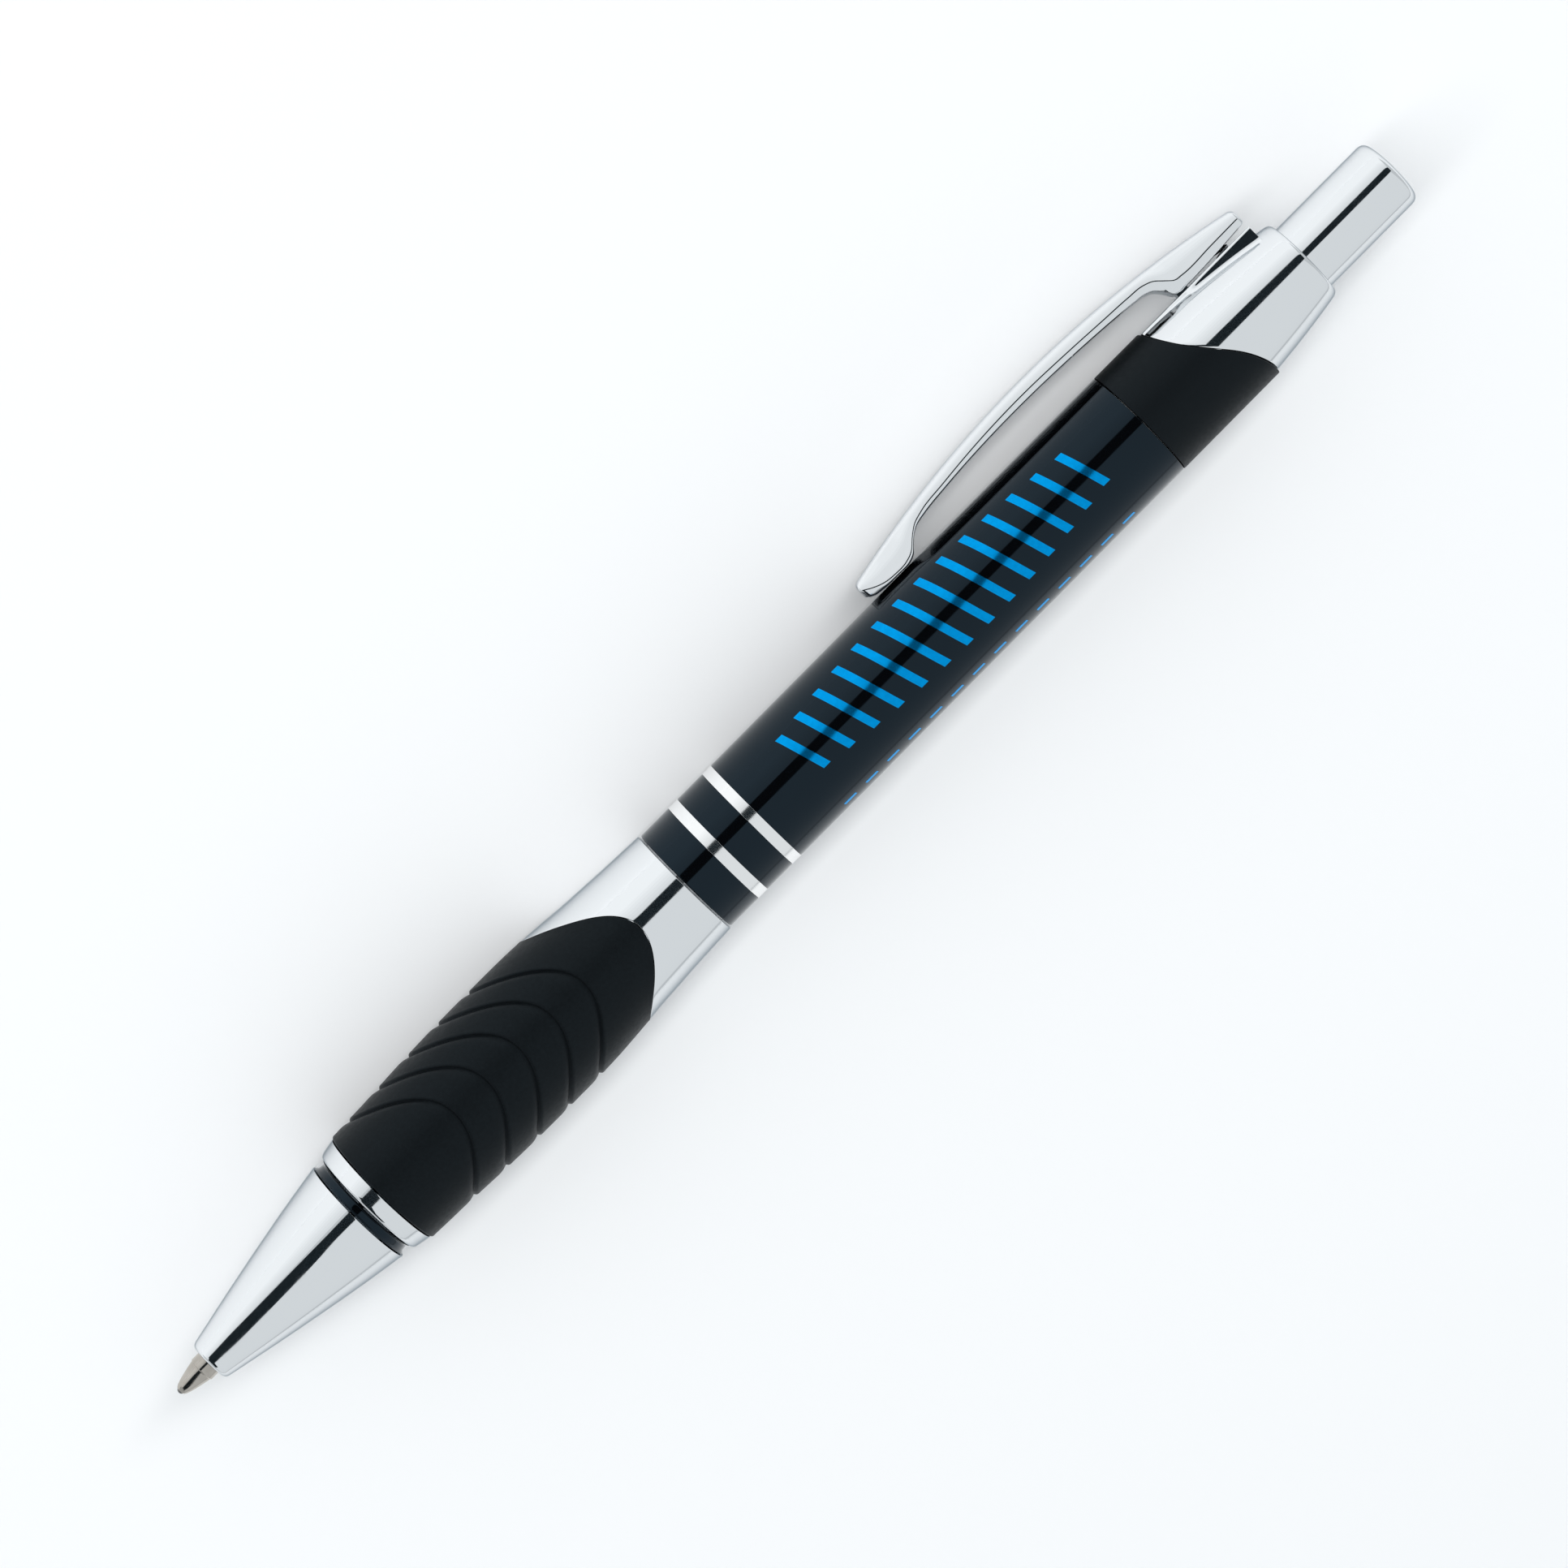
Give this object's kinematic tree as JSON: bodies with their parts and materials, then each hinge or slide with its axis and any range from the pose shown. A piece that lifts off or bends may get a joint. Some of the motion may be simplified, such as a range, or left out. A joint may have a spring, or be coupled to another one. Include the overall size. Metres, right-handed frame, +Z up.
{
  "type": "retractable ballpoint pen",
  "caption": "Click pen with chrome nose, swollen rubber grip, round black barrel, slanted collar, tapered cap, sprung clip and push button; its point slides out and in.",
  "frame": {"origin": "on the table under the middle of the pen's bounding box, the pen lying on its side and leaning on its clip", "axes": "+X along the pen from the point to the push button, +Z up from the table, +Y to the side that the clip leans to; the clip stands 22.5 degrees below +Y"},
  "size_m": [0.14, 0.0154, 0.0124],
  "materials": {
    "chrome": "bright chrome plate",
    "gloss_black": "gloss black lacquer",
    "matt_black": "satin moulded plastic",
    "black_rubber": "matt moulded rubber",
    "bare_steel": "plain drawn steel",
    "nickel": "nickel silver, finely turned",
    "brass": "turned brass",
    "white_plastic": "moulded acetal",
    "blue_plastic": "moulded plastic",
    "imprint_blue": "pad-printed ink"
  },
  "bodies": {
    "pen_body": {"nose_cone": "chrome", "nose_ring": "gloss_black", "grip_ferrule": "chrome", "rubber_grip": "black_rubber", "front_section": "chrome", "barrel_tube": "gloss_black", "trim_ring_front": "chrome", "trim_ring_rear": "chrome", "coupling_bush": "bare_steel", "rear_collar": "matt_black", "end_cap": "chrome", "cam_sleeve": "white_plastic", "clip_hinge_pin": "bare_steel", "clip_spring": "bare_steel", "return_spring": "bare_steel"},
    "clip": {"clip": "chrome"},
    "plunger": {"plunger_button": "chrome", "thrust_rod": "matt_black"},
    "refill": {"refill_tube": "bare_steel", "tip_holder": "brass", "writing_tip": "nickel", "tip_ball": "bare_steel", "refill_end_plug": "blue_plastic"},
    "rotor": {"cam_rotor": "blue_plastic"}
  },
  "joints": [
    {"name": "plunger_slide", "type": "slide", "parent": "pen_body", "child": "plunger", "axis": [1, 0, 0], "range_m": [-0.0015, 0.005]},
    {"name": "refill_slide", "type": "slide", "parent": "pen_body", "child": "refill", "axis": [1, 0, 0], "range_m": [-0.0015, 0.005], "deforming": ["return_spring"]},
    {"name": "rotor_spin", "type": "hinge", "parent": "refill", "child": "rotor", "pos_m": [0.03, -0.0015, 0.00622], "axis": [1, 0, 0], "continuous": true},
    {"name": "clip_hinge", "type": "hinge", "parent": "pen_body", "child": "clip", "pos_m": [0.0508, 0.00261, 0.00452], "axis": [0, -0.3827, -0.9239], "range_deg": [0, 3], "stiffness_Nm_per_rad": 0.3, "springref_deg": -5.73, "deforming": ["clip_spring"]}
  ],
  "couplings": [
    {"joint": "refill_slide", "follows": "plunger_slide", "ratio": 1}
  ]
}
